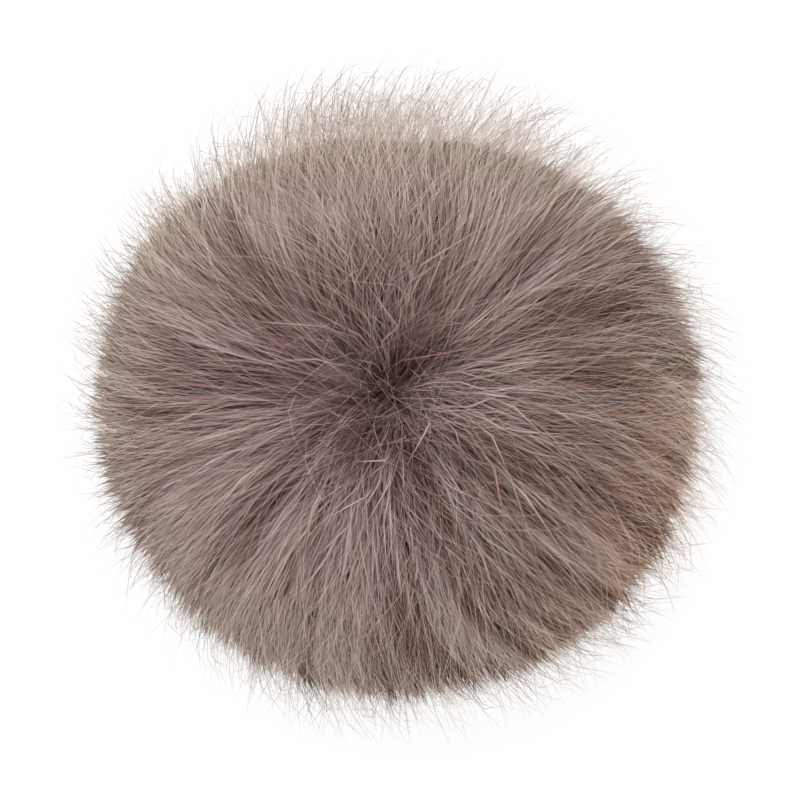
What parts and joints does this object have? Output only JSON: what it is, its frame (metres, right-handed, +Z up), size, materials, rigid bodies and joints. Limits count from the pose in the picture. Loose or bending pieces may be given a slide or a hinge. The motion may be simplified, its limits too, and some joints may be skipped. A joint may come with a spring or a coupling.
{
  "type": "faux fur pom pom",
  "caption": "Round faux fur pom pom: long taupe pile that parts at a whorl on the crown and stands out all round, with a small flat spot below.",
  "frame": {"origin": "middle of the level end of the lock straight under the ball, on the surface that the pom pom rests on", "axes": "+Z up through the crown with its whorl; +Y is the top of the pom pom as it is seen from above the crown, and +X its right"},
  "size_m": [0.1314, 0.131, 0.1127],
  "materials": {
    "faux_fur": "long soft pile, mauve taupe at the whorl and pale beige towards the tips"
  },
  "bodies": {
    "root": {"fur_ball": "faux_fur"}
  },
  "joints": []
}
